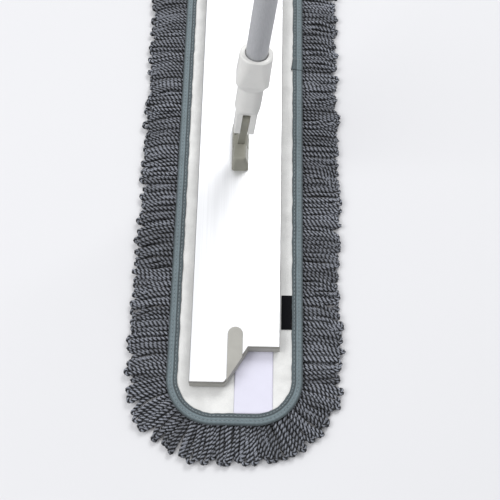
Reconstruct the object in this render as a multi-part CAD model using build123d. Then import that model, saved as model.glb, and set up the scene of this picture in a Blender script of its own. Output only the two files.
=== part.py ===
from build123d import *
import os
from math import cos, radians, sin

# Flat dust mop: a fringed pad, a frame plate with a cut-out at each end, a two-way swivel
# joint and a straight pole. Millimetres. The origin is on the floor under the plate's centre,
# +Y runs along the plate and +Z is up. The handle is stored leaning, as it stands in use.

# ---- driving dimensions -------------------------------------------------------------------

# pad
pad_side_margin = 21.0        # from the plate's long edge to the tape's outer edge
pad_end_margin = 33.0         # from the plate's end to the tape's outer edge
pad_corner_radius = 42.0
pile_depth = 9.4              # floor to the underside of the backing
backing_thickness = 2.4
tape_width = 10.0
tape_thickness = 0.8
fringe_reach_side = 35.5      # how far the yarn loops stand out past the tape
fringe_reach_end = 32.5
fringe_height = 8.2
fringe_edge_radius = 3.0
label_length = 33.0
label_thickness = 0.6
label_end_gap = 55.0          # from the plate's front end to the label
label_plate_gap = 1.4         # from the plate's long edge to the label
patch_width = 34.0
patch_thickness = 0.6
patch_under_plate = 19.0      # how far the patch starts behind the cut-out's inner edge

# frame plate
plate_length = 470.0          # over the end caps
plate_width = 79.0
plate_height = 10.0
plate_wall = 1.4
plate_edge_radius = 0.8
web_thickness = 1.2
web_offset = 20.0             # centre plane of each inner web
notch_depth = 33.0            # cut-out at each end
notch_start = -8.0            # where the slanted edge leaves the end edge
notch_finish = 12.2           # where the slanted edge meets the cut-back edge
head_gap = 0.4                # air between the pad's top and the hook strips
hook_thickness = 1.2
hook_width = 20.0
hook_inset = 2.0              # from the plate's long edge to a strip

# end caps
cap_wall = 1.6
cap_proud = 0.3               # how far the cap's top stands above the plate
cap_corner_radius = 1.2
cap_bend_radius = 4.4         # where the end edge turns into the slanted edge
cap_edge_radius = 0.25
cap_tongue_width = 13.4
cap_tongue_length = 52.3      # from the plate's end to the tongue's tip
cap_tongue_height = 1.5
cap_tongue_edge_radius = 0.6
plug_length = 12.0
plug_clearance = 0.1
cap_screw_spread = 10.0       # each side of the centreline
cap_screw_length = 7.4
screw_shank_radius = 1.5
screw_head_radius = 2.9
screw_head_height = 1.4

# swivel joint
roll_height = 10.5            # roll axis above the plate
base_length = 50.0
base_width = 15.8
base_top_width = 10.4         # the lugs narrow towards their tops
base_shoulder = 7.0           # upright part of the lugs' sides
base_floor = 2.5
base_floor_inset = 1.0        # from the lugs' outer faces
lug_length = 19.1
lug_height = 18.0
lug_slope = 2.7               # how far each lug's outer face leans in at its top
lug_edge_radius = 1.2
lug_corner_radius = 3.0       # round the leaning outer face
roll_pin_radius = 2.5
roll_pin_blind = 5.0          # how deep the pin sits in the front lug
pin_head_radius = 4.2
pin_head_height = 1.8
pin_running_clearance = 0.05
pin_end_gap = 0.5
barrel_radius = 7.2
barrel_end_gap = 0.4
tongue_thickness = 6.6
tongue_rise = 7.0             # straight part of the tongue above the pitch axis
tongue_length = 11.0          # along the plate
pivot_offset = 37.0           # from the roll axis to the pitch axis
pitch_pin_radius = 2.5
bush_wall = 0.8
base_screw_depth = 5.0        # how far a base screw bites into its lug
base_screw_head_radius = 3.2
base_screw_head_height = 1.8
driver_hole_radius = 4.0

# fork socket, measured up the handle from the pitch axis
fork_width = 19.2
fork_depth = 14.5
fork_drop = 9.2               # prong length below the pitch axis
fork_corner_radius = 1.5
fork_tip_radius = 2.0
slot_top = 18.5
washer_thickness = 0.25
washer_radius = 5.5
washer_gap = 0.05
shoulder_low = 19.0
shoulder_high = 24.0
neck_width = 23.5
neck_depth = 19.5
neck_corner_radius = 9.6
neck_top = 51.5
collar_low = 60.5
collar_low_side_wall = 5.0     # beside the pole
collar_low_face_wall = 2.5     # in front of and behind the pole
collar_low_corner = 4.6
collar_high_side_wall = 4.9
collar_high_face_wall = 3.0
collar_high_flat = 0.6         # flat left on each side between the top's corners
collar_top = 91.5
collar_rim = 1.2
seat_below_collar = 2.5       # the pole's foot, under the collar's lower rim
mouth_clearance = 0.7
mouth_depth = 4.0
socket_screw_height = 69.5
socket_screw_length = 10.0
socket_screw_radius = 1.6
socket_screw_head_radius = 3.0
socket_screw_head_height = 1.6

# pole, grip and hanging cap
pole_diameter = 19.0
pole_wall = 1.0
pole_length = 1092.0
fit_gap = 0.03                # glued and pressed fits within the handle and head
grip_length = 135.0
grip_end_wall = 3.0
grip_waist_wall = 2.0
grip_edge_radius = 2.0
cap_plug_length = 22.0
cap_flange_height = 4.0
eye_height = 26.0
eye_thickness = 9.0
hang_hole_radius = 4.5
hang_hole_from_tip = 11.0

# stored pose
lean_side = 6.6               # degrees, about the roll axis, towards +X
lean_back = 8.4               # degrees, about the pitch axis, towards +Y

# ---- sizes that follow from them --------------------------------------------------------------

pad_length = plate_length + 2 * pad_end_margin
pad_width = plate_width + 2 * pad_side_margin
backing_top = pile_depth + backing_thickness
pad_top = backing_top + tape_thickness
hook_bottom = pad_top + head_gap
plate_bottom = hook_bottom + hook_thickness
plate_top = plate_bottom + plate_height
roll_axis_height = plate_top + roll_height
slot_width = tongue_thickness + 2 * (washer_thickness + washer_gap)
pole_seat = collar_low - seat_below_collar
collar_low_width = pole_diameter + 2 * collar_low_side_wall
collar_low_depth = pole_diameter + 2 * collar_low_face_wall
collar_high_width = pole_diameter + 2 * collar_high_side_wall
collar_high_depth = pole_diameter + 2 * collar_high_face_wall
collar_high_corner = (collar_high_depth - collar_high_flat) / 2
handle_top = pole_seat + pole_length
grip_diameter = pole_diameter + 2 * grip_end_wall
grip_waist_diameter = pole_diameter + 2 * grip_waist_wall


# ---- helpers --------------------------------------------------------------------------------

def prism(outline, low, high):
    """A flat outline raised from one height to another."""
    return extrude(Pos(0, 0, low) * outline, high - low)


def polygon(points):
    """A face on the floor plane through the given corners."""
    return make_face(Polyline(*points, close=True))


def cylinder_z(radius, low, high):
    """An upright cylinder on the Z axis."""
    return Pos(0, 0, low) * Cylinder(radius, high - low, align=(Align.CENTER, Align.CENTER, Align.MIN))


def cylinder_x(radius, low, high):
    """A cylinder on the X axis."""
    return Rot(0, 90, 0) * cylinder_z(radius, low, high)


def cylinder_y(radius, low, high):
    """A cylinder on the Y axis."""
    return Rot(-90, 0, 0) * cylinder_z(radius, low, high)


def block(x_range, y_range, z_range):
    """A box between two corners."""
    size = [high - low for low, high in (x_range, y_range, z_range)]
    corner = Pos(x_range[0], y_range[0], z_range[0])
    return corner * Box(*size, align=(Align.MIN, Align.MIN, Align.MIN))


def half_turned(shape):
    """The same piece at the other end of the plate."""
    return Rot(0, 0, 180) * shape


def on_link(shape):
    """Place a shape drawn about the roll axis."""
    return Pos(0, 0, roll_axis_height) * Rot(0, lean_side, 0) * shape


def on_handle(shape):
    """Place a shape drawn about the pitch axis."""
    return on_link(Pos(0, 0, pivot_offset) * Rot(-lean_back, 0, 0) * shape)


def write(name, shape):
    """Write one named piece."""
    export_step(shape, f"parts/{name}.step")


# ---- pad ------------------------------------------------------------------------------------

def pad_outline(inset):
    """The pad's rounded outline, drawn in from the tape's outer edge."""
    width = pad_width - 2 * inset
    length = pad_length - 2 * inset
    return RectangleRounded(width, length, pad_corner_radius - inset)


def make_pad_pile():
    skirt = prism(pad_outline(2 * tape_thickness), 0, pile_depth - tape_thickness)
    crown = prism(pad_outline(tape_width), pile_depth - tape_thickness, pile_depth)
    return skirt + crown


def make_pad_backing():
    return prism(pad_outline(tape_thickness), pile_depth, backing_top)


def make_binding_tape():
    strip = prism(pad_outline(0), pile_depth - tape_thickness, pad_top)
    filling = prism(pad_outline(tape_thickness), pile_depth, backing_top)
    opening = prism(pad_outline(tape_width), pile_depth - tape_thickness, pad_top)
    return strip - filling - opening


def make_fringe():
    """The loops as four closed bands: two long sides and two ends with their corners."""
    width = pad_width + 2 * fringe_reach_side
    length = pad_length + 2 * fringe_reach_end
    outline = RectangleRounded(width, length, pad_corner_radius + fringe_reach_end)
    band = prism(outline, 0, fringe_height)
    top_edges = band.edges().group_by(Axis.Z)[-1]
    band = fillet(top_edges, fringe_edge_radius)
    band -= prism(pad_outline(2 * tape_thickness), 0, fringe_height)
    straight = pad_length / 2 - pad_corner_radius
    right_zone = block((0, width), (-straight, straight), (0, fringe_height))
    front_zone = block((-width, width), (-length, -straight), (0, fringe_height))
    right = band & right_zone
    front = band & front_zone
    return right, front


def make_side_label():
    y_low = -plate_length / 2 + label_end_gap
    return block(
        (plate_width / 2 + label_plate_gap, pad_width / 2 - tape_width),
        (y_low, y_low + label_length),
        (backing_top, backing_top + label_thickness),
    )


def make_end_patch():
    y_low = -pad_length / 2 + tape_width
    y_high = -plate_length / 2 + notch_depth - cap_wall + patch_under_plate
    patch = block((0, patch_width), (y_low, y_high), (backing_top, backing_top + patch_thickness))
    return patch & prism(pad_outline(tape_width), backing_top, backing_top + patch_thickness)


# ---- frame plate and end caps -----------------------------------------------------------------

def end_path():
    """The front end's edge, from the left side to the right side."""
    end = -plate_length / 2
    return [
        (-plate_width / 2, end),
        (notch_start, end),
        (notch_finish, end + notch_depth),
        (plate_width / 2, end + notch_depth),
    ]


def inner_end_path():
    """The end's edge moved in by the cap's wall, at the same thickness along all three runs."""
    end = -plate_length / 2 + cap_wall
    run = notch_finish - notch_start
    slant = (run ** 2 + notch_depth ** 2) ** 0.5
    shift = cap_wall * (slant - run) / notch_depth
    return [
        (-plate_width / 2, end),
        (notch_start - shift, end),
        (notch_finish - shift, end + notch_depth),
        (plate_width / 2, end + notch_depth),
    ]


def path_height(path, x):
    """Where a left-to-right path is at a given x."""
    for (x0, y0), (x1, y1) in zip(path, path[1:]):
        if x0 <= x <= x1:
            return y0 + (y1 - y0) * (x - x0) / (x1 - x0)
    return path[-1][1]


def round_corner(shape, place, radius):
    """Round the upright edge that stands nearest to a place."""
    edge = shape.edges().filter_by(Axis.Z).sort_by_distance((*place, plate_top))[0]
    return fillet(edge, radius)


def plate_outline(path):
    """A whole outline with the same end path at both ends."""
    rear = [(-x, -y) for x, y in path]
    return polygon(path + rear)


def cell_ranges():
    """The three hollow cells across the plate."""
    outer = plate_width / 2 - plate_wall
    near = web_offset + web_thickness / 2
    far = web_offset - web_thickness / 2
    return [(-outer, -near), (-far, far), (near, outer)]


def plug_end(cell):
    """How far a cap's plug reaches into a cell."""
    path = inner_end_path()
    return max(path_height(path, cell[0]), path_height(path, cell[1])) + plug_length


def cap_screw_places():
    """The front cap's two screws, in the plug of the middle cell."""
    y = plug_end(cell_ranges()[1]) - plug_length / 2
    return [(-cap_screw_spread, y), (cap_screw_spread, y)]


def base_screw_places():
    """Centres of the two screws that hold the joint base."""
    y = base_length / 2 - lug_length / 2
    return [(0, -y), (0, y)]


def cap_screw_shape(extra):
    """A countersunk screw standing on its head, or its hole when made larger by extra."""
    head = Pos(0, 0, screw_head_height / 2) * Cone(
        screw_head_radius + extra, screw_shank_radius + extra, screw_head_height
    )
    return head + cylinder_z(screw_shank_radius + extra, 0, cap_screw_length + extra)


def make_frame_plate():
    plate = prism(plate_outline(inner_end_path()), plate_bottom, plate_top)
    bend_x, bend_y = inner_end_path()[1]
    plate = round_corner(plate, (bend_x, bend_y), cap_bend_radius - cap_wall)
    plate = round_corner(plate, (-bend_x, -bend_y), cap_bend_radius - cap_wall)
    plate = fillet(plate.edges().filter_by(Axis.Y).group_by(Axis.Z)[-1], plate_edge_radius)
    for low, high in cell_ranges():
        plate -= block(
            (low, high),
            (-plate_length, plate_length),
            (plate_bottom + plate_wall, plate_top - plate_wall),
        )
    for x, y in cap_screw_places():
        hole = Pos(x, y, plate_bottom) * cap_screw_shape(0)
        plate -= hole
        plate -= half_turned(hole)
    for x, y in base_screw_places():
        plate -= Pos(x, y, 0) * cylinder_z(driver_hole_radius, plate_bottom, plate_bottom + plate_wall)
        plate -= Pos(x, y, 0) * cylinder_z(screw_shank_radius, plate_top - plate_wall, plate_top)
    return plate


def make_cap_tongue():
    """The flat tongue that lies on the plate, cut off along the end's edge."""
    tip_radius = cap_tongue_width / 2
    tip = -plate_length / 2 + cap_tongue_length
    shank = Pos(0, tip - tip_radius - cap_tongue_length / 2) * Rectangle(cap_tongue_width, cap_tongue_length)
    outline = shank + Pos(0, tip - tip_radius) * Circle(tip_radius)
    tongue = prism(outline, plate_top, plate_top + cap_tongue_height)
    tongue &= prism(plate_outline(end_path()), plate_top, plate_top + cap_tongue_height)
    return fillet(tongue.edges().group_by(Axis.Z)[-1], cap_tongue_edge_radius)


def make_end_cap():
    outer = end_path()
    inner = inner_end_path()
    wall = prism(polygon(outer + inner[::-1]), plate_bottom, plate_top + cap_proud)
    wall = round_corner(wall, outer[0], cap_corner_radius)
    wall = round_corner(wall, outer[1], cap_bend_radius)
    wall = round_corner(wall, inner[1], cap_bend_radius - cap_wall)
    wall = chamfer(wall.edges().group_by(Axis.Z)[-1], cap_edge_radius)
    cap = wall + make_cap_tongue()
    inside = prism(polygon(outer + [(plate_width / 2, 0), (-plate_width / 2, 0)]), 0, plate_top)
    inside = round_corner(inside, outer[1], cap_bend_radius)
    for cell in cell_ranges():
        plug = block(
            (cell[0] + plug_clearance, cell[1] - plug_clearance),
            (-plate_length / 2, plug_end(cell)),
            (plate_bottom + plate_wall + plug_clearance, plate_top - plate_wall - plug_clearance),
        )
        cap += plug & inside
    for x, y in cap_screw_places():
        cap -= Pos(x, y, plate_bottom) * cap_screw_shape(0)
    return cap


def make_cap_screws():
    screws = []
    for x, y in cap_screw_places():
        screw = Pos(x, y, plate_bottom) * cap_screw_shape(0)
        screws.append(screw)
        screws.append(half_turned(screw))
    return screws


def make_hook_strip():
    """The strip under the plate's right-hand side, clear of both ends' cut-outs."""
    x_high = plate_width / 2 - hook_inset
    x_low = x_high - hook_width
    reach = plate_length / 2 - notch_depth - cap_wall
    return block((x_low, x_high), (-reach, reach), (hook_bottom, plate_bottom))


# ---- swivel joint -----------------------------------------------------------------------------

def lug_shape():
    """The front lug: narrower at its top, with an outer face that leans in."""
    half = base_length / 2
    half_width = base_width / 2
    half_top = base_top_width / 2
    shoulder = plate_top + base_shoulder
    top = plate_top + lug_height
    across = Plane.XZ * polygon([
        (-half_width, plate_top),
        (half_width, plate_top),
        (half_width, shoulder),
        (half_top, top),
        (-half_top, top),
        (-half_width, shoulder),
    ])
    along = Plane.YZ * polygon([
        (-half, plate_top),
        (-half + lug_length, plate_top),
        (-half + lug_length, top),
        (-half + lug_slope, top),
    ])
    lug = extrude(across, base_length, both=True) & extrude(along, base_length, both=True)
    outer_edges = lug.faces().sort_by(Axis.Y)[0].edges().sort_by(Axis.Z)[1:]
    lug = fillet(outer_edges, lug_corner_radius)
    top_edges = lug.faces().sort_by(Axis.Z)[-1].edges().filter_by(Axis.Y)
    return fillet(top_edges, lug_edge_radius)


def make_joint_base():
    half = base_length / 2
    front = lug_shape()
    rear = half_turned(front)
    floor_range = (-half + base_floor_inset, half - base_floor_inset)
    floor = block((-base_width / 2, base_width / 2), floor_range, (plate_top, plate_top + base_floor))
    base = front + rear + floor
    base -= Pos(0, 0, roll_axis_height) * cylinder_y(roll_pin_radius, pin_front() - pin_end_gap, half)
    base -= Pos(0, 0, roll_axis_height) * cylinder_y(pin_head_radius, pin_rear() - pin_head_height, half)
    for x, y in base_screw_places():
        base -= Pos(x, y, 0) * cylinder_z(screw_shank_radius, plate_top, plate_top + base_screw_depth)
    return base


def pin_front():
    """The roll pin's front end, in the blind hole of the front lug."""
    return -base_length / 2 + lug_length - roll_pin_blind


def pin_rear():
    """The roll pin's head, sunk into the rear lug's leaning face."""
    return base_length / 2 - lug_slope


def make_base_screws():
    screws = []
    under_web = plate_top - plate_wall
    for x, y in base_screw_places():
        head = cylinder_z(base_screw_head_radius, under_web - base_screw_head_height, under_web)
        shank = cylinder_z(screw_shank_radius, under_web, plate_top + base_screw_depth)
        screws.append(Pos(x, y, 0) * (head + shank))
    return screws


def make_roll_pin():
    shank = cylinder_y(roll_pin_radius, pin_front(), pin_rear())
    head = cylinder_y(pin_head_radius, pin_rear() - pin_head_height, pin_rear())
    return Pos(0, 0, roll_axis_height) * (shank + head)


def make_joint_link():
    half = base_length / 2 - lug_length - barrel_end_gap
    barrel = cylinder_y(barrel_radius, -half, half)
    cheek = tongue_thickness / 2
    tongue_top = pivot_offset + tongue_rise
    tongue = block((-cheek, cheek), (-tongue_length / 2, tongue_length / 2), (0, tongue_top))
    tongue += Pos(0, 0, tongue_top) * cylinder_x(tongue_length / 2, -cheek, cheek)
    link = barrel + tongue
    link -= cylinder_y(roll_pin_radius + pin_running_clearance, -half, half)
    link -= Pos(0, 0, pivot_offset) * cylinder_x(bush_radius(), -cheek, cheek)
    return on_link(link)


def bush_radius():
    """Outside of the sleeve in the tongue."""
    return pitch_pin_radius + pin_running_clearance + bush_wall


def make_tongue_bush():
    cheek = tongue_thickness / 2
    bush = cylinder_x(bush_radius(), -cheek, cheek)
    bush -= cylinder_x(pitch_pin_radius + pin_running_clearance, -cheek, cheek)
    return on_link(Pos(0, 0, pivot_offset) * bush)


# ---- handle -------------------------------------------------------------------------------------

def make_fork_body():
    """The fork's square root with its two prongs, the slot already cut."""
    fork = prism(RectangleRounded(fork_width, fork_depth, fork_corner_radius), -fork_drop, shoulder_high)
    tip_edges = fork.edges().filter_by(Axis.X).group_by(Axis.Z)[0]
    fork = fillet(tip_edges, fork_tip_radius)
    half_slot = slot_width / 2
    return fork - block((-half_slot, half_slot), (-fork_depth, fork_depth), (-fork_drop, slot_top))


def make_fork_socket():
    fork_outline = RectangleRounded(fork_width, fork_depth, fork_corner_radius)
    neck_outline = RectangleRounded(neck_width, neck_depth, neck_corner_radius)
    low_outline = RectangleRounded(collar_low_width, collar_low_depth, collar_low_corner)
    high_outline = RectangleRounded(collar_high_width, collar_high_depth, collar_high_corner)
    shoulder = loft([Pos(0, 0, shoulder_low) * fork_outline, Pos(0, 0, shoulder_high) * neck_outline])
    neck = prism(neck_outline, shoulder_high, neck_top)
    step = loft([Pos(0, 0, neck_top) * neck_outline, Pos(0, 0, collar_low) * low_outline])
    collar = loft([Pos(0, 0, collar_low) * low_outline, Pos(0, 0, collar_top) * high_outline])
    collar = chamfer(collar.faces().sort_by(Axis.Z)[-1].edges(), collar_rim)
    socket = make_fork_body() + shoulder + neck + step + collar
    socket -= cylinder_z(pole_diameter / 2 + fit_gap, pole_seat, collar_top)
    socket -= cylinder_z(pole_diameter / 2 + mouth_clearance, collar_top - mouth_depth, collar_top)
    socket -= pitch_pin_shape()
    socket -= socket_screw_shape()
    return on_handle(socket)


def pitch_pin_shape():
    """The pin and both of its heads, across the fork."""
    half = fork_width / 2
    pin = cylinder_x(pitch_pin_radius, -half, half)
    pin += cylinder_x(pin_head_radius, -half, -half + pin_head_height)
    pin += cylinder_x(pin_head_radius, half - pin_head_height, half)
    return pin


def make_pitch_pin():
    half = fork_width / 2
    return on_handle(pitch_pin_shape() - cylinder_x(pin_head_radius, half - pin_head_height, half))


def make_pitch_pin_cap():
    half = fork_width / 2
    return on_handle(cylinder_x(pin_head_radius, half - pin_head_height, half))


def make_friction_washers():
    washers = []
    outer = slot_width / 2
    for low in (-outer, outer - washer_thickness):
        washer = cylinder_x(washer_radius, low, low + washer_thickness)
        washer -= cylinder_x(pitch_pin_radius, low, low + washer_thickness)
        washers.append(on_handle(washer))
    return washers


def collar_half_depth(height):
    """Half the collar's depth at a height on its taper."""
    share = (height - collar_low) / (collar_top - collar_low)
    return (collar_low_depth + share * (collar_high_depth - collar_low_depth)) / 2


def socket_screw_shape():
    """The screw behind the collar, with its head let into the wall."""
    face = collar_half_depth(socket_screw_height + socket_screw_head_radius)
    inner = face - socket_screw_length
    screw = cylinder_y(socket_screw_radius, inner, face)
    screw += cylinder_y(socket_screw_head_radius, face - socket_screw_head_height, face)
    return Pos(0, 0, socket_screw_height) * screw


def make_socket_screw():
    return on_handle(socket_screw_shape())


def make_pole():
    pole = cylinder_z(pole_diameter / 2, pole_seat, handle_top)
    pole -= cylinder_z(pole_diameter / 2 - pole_wall, pole_seat, handle_top)
    pole -= socket_screw_shape()
    return on_handle(pole)


def make_grip():
    low = handle_top - grip_length
    middle = handle_top - grip_length / 2
    end_disc = Circle(grip_diameter / 2)
    waist_disc = Circle(grip_waist_diameter / 2)
    grip = loft([Pos(0, 0, low) * end_disc, Pos(0, 0, middle) * waist_disc])
    grip += loft([Pos(0, 0, middle) * waist_disc, Pos(0, 0, handle_top) * end_disc])
    rims = grip.faces().sort_by(Axis.Z)[0].edges() + grip.faces().sort_by(Axis.Z)[-1].edges()
    grip = fillet(rims, grip_edge_radius)
    grip -= cylinder_z(pole_diameter / 2 + fit_gap, low, handle_top)
    return on_handle(grip)


def make_hang_cap():
    """A cap with a plug in the pole and a flat eye above it."""
    flange_top = handle_top + cap_flange_height
    plug_radius = pole_diameter / 2 - pole_wall - fit_gap
    cap = cylinder_z(plug_radius, handle_top - cap_plug_length, handle_top)
    flange = cylinder_z(grip_diameter / 2, handle_top, flange_top)
    cap += fillet(flange.edges().group_by(Axis.Z)[-1], grip_edge_radius)
    eye_radius = grip_diameter / 2 - grip_edge_radius
    eye_centre = flange_top + eye_height - eye_radius
    half = eye_thickness / 2
    eye = block((-eye_radius, eye_radius), (-half, half), (flange_top - cap_flange_height, eye_centre))
    eye += Pos(0, 0, eye_centre) * cylinder_y(eye_radius, -half, half)
    cap += eye
    hole = cylinder_y(hang_hole_radius, -half, half)
    cap -= Pos(0, 0, flange_top + eye_height - hang_hole_from_tip) * hole
    return on_handle(cap)


# ---- write every piece ----------------------------------------------------------------------------

os.makedirs("parts", exist_ok=True)

fringe_right, fringe_front = make_fringe()
end_cap = make_end_cap()
hook_strip = make_hook_strip()
end_patch = make_end_patch()

write("pad_pile", make_pad_pile())
write("pad_backing", make_pad_backing())
write("binding_tape", make_binding_tape())
write("fringe_right", fringe_right)
write("fringe_left", half_turned(fringe_right))
write("fringe_front", fringe_front)
write("fringe_rear", half_turned(fringe_front))
write("side_label", make_side_label())
write("end_patch_front", end_patch)
write("end_patch_rear", half_turned(end_patch))

write("frame_plate", make_frame_plate())
write("end_cap_front", end_cap)
write("end_cap_rear", half_turned(end_cap))
write("cap_screws", Compound(make_cap_screws()))
write("hook_strip_right", hook_strip)
write("hook_strip_left", half_turned(hook_strip))
write("joint_base", make_joint_base())
write("base_screws", Compound(make_base_screws()))
write("roll_pin", make_roll_pin())

write("joint_link", make_joint_link())
write("tongue_bush", make_tongue_bush())

write("fork_socket", make_fork_socket())
write("pitch_pin", make_pitch_pin())
write("pitch_pin_cap", make_pitch_pin_cap())
write("friction_washers", Compound(make_friction_washers()))
write("socket_screw", make_socket_screw())
write("pole", make_pole())
write("grip", make_grip())
write("hang_cap", make_hang_cap())
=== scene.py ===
from math import cos, pi, radians, sin

import bpy
import numpy as np
from bpy.props import FloatProperty, FloatVectorProperty, IntProperty, PointerProperty
from bpy.types import Operator, Panel, PropertyGroup
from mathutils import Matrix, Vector


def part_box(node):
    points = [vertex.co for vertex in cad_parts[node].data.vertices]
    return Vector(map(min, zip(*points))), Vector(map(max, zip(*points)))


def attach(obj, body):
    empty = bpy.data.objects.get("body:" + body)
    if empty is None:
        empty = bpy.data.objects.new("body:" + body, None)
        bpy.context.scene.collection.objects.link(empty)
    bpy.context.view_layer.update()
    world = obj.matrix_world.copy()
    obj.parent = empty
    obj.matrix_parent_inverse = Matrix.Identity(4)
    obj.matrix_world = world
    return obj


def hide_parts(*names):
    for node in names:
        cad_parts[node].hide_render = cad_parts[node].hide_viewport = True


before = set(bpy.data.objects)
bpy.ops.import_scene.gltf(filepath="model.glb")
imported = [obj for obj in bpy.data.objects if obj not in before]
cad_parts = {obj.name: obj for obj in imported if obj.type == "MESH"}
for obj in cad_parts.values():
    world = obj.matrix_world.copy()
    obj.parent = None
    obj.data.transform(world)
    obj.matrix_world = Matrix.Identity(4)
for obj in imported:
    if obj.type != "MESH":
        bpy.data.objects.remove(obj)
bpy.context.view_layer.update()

bl_info = {
    "name": "Flat dust mop",
    "version": (1, 0, 0),
    "blender": (4, 5, 0),
    "location": "View3D > Sidebar > Dust mop",
    "description": "Builds the yarn, cloth, tape and finishes of a flat dust mop around its frame",
    "category": "Object",
}

MM = 0.001

TAPE_LOW, TAPE_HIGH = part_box("binding_tape")
BACKING_LOW, BACKING_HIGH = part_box("pad_backing")
FRINGE_END_LOW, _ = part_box("fringe_front")
_, FRINGE_SIDE_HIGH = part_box("fringe_right")
_, PILE_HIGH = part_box("pad_pile")
_, PLATE_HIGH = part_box("frame_plate")
PAD_HALF_WIDTH = TAPE_HIGH.x
PAD_HALF_LENGTH = TAPE_HIGH.y
STRAIGHT_HALF = FRINGE_SIDE_HIGH.y
CORNER_RADIUS = PAD_HALF_LENGTH - STRAIGHT_HALF


# ---- sizes and colours that a user would change --------------------------------------------------

def length(name, description, default):
    """A length in metres with the default that the maker works to."""
    return FloatProperty(name=name, description=description, default=default, unit="LENGTH", precision=5)


def colour(name, description, default):
    """A linear RGB colour."""
    return FloatVectorProperty(
        name=name, description=description, default=default, subtype="COLOR", size=3, min=0.0, max=1.0
    )


class YarnSettings(PropertyGroup):
    """The twisted yarn of the fringe and the pile."""
    yarn: length("Yarn thickness", "Across one twisted yarn", 0.0041)
    twist: length("Twist length", "Along the yarn for one full turn of its two plies", 0.0078)
    pitch: length("Loop pitch", "Between the roots of two loops in one layer", 0.0080)
    side_reach: length("Side reach", "From the tape's edge to the loops' ends along the sides",
                       FRINGE_SIDE_HIGH.x - TAPE_HIGH.x)
    end_reach: length("End reach", "From the tape's edge to the loops' ends at both ends",
                      TAPE_LOW.y - FRINGE_END_LOW.y)
    trail: length("Trail", "How far the side loops' ends trail towards the front", 0.0045)
    seed: IntProperty(name="Seed", description="Start of the random draws for the loops", default=7)
    # The crest colour is the painted highlight on the plies. The groove colour is the painted shade in the
    # grooves between them and on the yarn's flanks.
    crest: colour("Crest colour", "Yarn where it catches the light", (0.232, 0.246, 0.282))
    groove_shade: colour("Groove colour", "Yarn down between its plies", (0.0028, 0.0032, 0.0048))


class ClothSettings(PropertyGroup):
    """The pad's cloth, tape, stitches, label and patches."""
    tape_width: length("Tape width", "Seen width of the edge tape on top of the pad", 0.010)
    stitch: length("Stitch length", "Length of one stitch in the tape", 0.0026)
    stitch_gap: length("Stitch gap", "Between two stitches in a row", 0.0012)
    loop_cloth: colour("Loop cloth", "Colour of the cloth that faces the frame", (0.73, 0.73, 0.715))
    tape: colour("Tape", "Colour of the edge tape", (0.124, 0.158, 0.172))
    thread: colour("Thread", "Colour of the tape's sewing thread", (0.27, 0.315, 0.335))
    label: colour("Label", "Colour of the woven label", (0.005, 0.005, 0.0065))
    patch: colour("Patch", "Colour of the smooth end patches", (0.70, 0.69, 0.80))


class HardPartSettings(PropertyGroup):
    """The grip's sizes and the colours of the moulded and metal parts."""
    grip_length: length("Grip length", "Along the handle", 0.135)
    grip_diameter: length("Grip diameter", "Across the grip at its ends", 0.025)
    grip_bore: length("Grip bore", "The pole's diameter inside the grip", 0.01906)
    rib_pitch: length("Rib pitch", "From one rib of the grip to the next", 0.0042)
    plate: colour("Frame plate", "Colour of the aluminium plate", (0.92, 0.925, 0.94))
    end_cap: colour("End caps", "Colour of the moulded end caps", (0.36, 0.352, 0.322))
    joint: colour("Swivel joint", "Colour of the joint's base and link", (0.27, 0.265, 0.22))
    socket: colour("Socket", "Colour of the fork socket", (0.755, 0.75, 0.725))
    pole: colour("Pole", "Colour of the pole's matt finish", (0.44, 0.446, 0.462))
    grip: colour("Grip", "Colour of the rubber grip", (0.08, 0.083, 0.09))
    steel: colour("Steel", "Colour of the pins and screws", (0.60, 0.60, 0.61))


class StudioSettings(PropertyGroup):
    """The camera, the floor and the light."""
    lens: FloatProperty(
        name="Lens", description="Focal length in millimetres on a 36 mm wide sensor", default=72.0
    )
    camera_place: FloatVectorProperty(
        name="Camera place", description="Where the camera stands", default=(0.019, -0.4836, 0.8632),
        subtype="TRANSLATION", unit="LENGTH",
    )
    tilt: FloatProperty(
        name="Tilt", description="How far the view is raised from straight down", default=radians(24.15),
        unit="ROTATION",
    )
    heading: FloatProperty(
        name="Heading", description="How far the view is turned about the vertical", default=radians(1.17),
        unit="ROTATION",
    )
    floor: colour("Floor", "Colour of the floor", (0.68, 0.68, 0.695))


# ---- mesh helpers --------------------------------------------------------------------------------

def new_piece(name, vertices, faces, smooth=True):
    """A mesh object from points and faces, in the frame's own coordinates."""
    mesh = bpy.data.meshes.new(name)
    mesh.from_pydata([tuple(v) for v in np.asarray(vertices, float).tolist()], [], [tuple(f) for f in faces])
    mesh.validate()
    mesh.update()
    if smooth:
        mesh.shade_smooth()
    piece = bpy.data.objects.new(name, mesh)
    bpy.context.scene.collection.objects.link(piece)
    return piece


def grid_faces(rows, columns, wrap, start=0):
    """Quads over a grid of points stored row by row."""
    row = np.arange(rows - 1)[:, None] * columns
    column = np.arange(columns if wrap else columns - 1)[None, :]
    after = (column + 1) % columns
    a = row + column
    b = row + after
    c = row + columns + after
    d = row + columns + column
    quads = np.stack([a, b, c, d], axis=-1).reshape(-1, 4) + start
    return quads.tolist()


def smoothstep(value):
    """Rises from 0 to 1 with no corner at either end."""
    value = np.clip(value, 0.0, 1.0)
    return value * value * (3.0 - 2.0 * value)


def swell(along, length, phase=0.0):
    """A sine wave of a given length along a line."""
    return np.sin(2 * pi * along / length + phase)


def keep_values(piece, name, values):
    """Store one number for each point, for the finishes to read."""
    layer = piece.data.attributes.new(name, "FLOAT", "POINT")
    layer.data.foreach_set("value", values.astype(np.float32))


def thicken(piece, thickness):
    """Give a sheet its thickness, below its own surface."""
    modifier = piece.modifiers.new("thickness", "SOLIDIFY")
    modifier.thickness = thickness
    modifier.offset = -1.0


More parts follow.
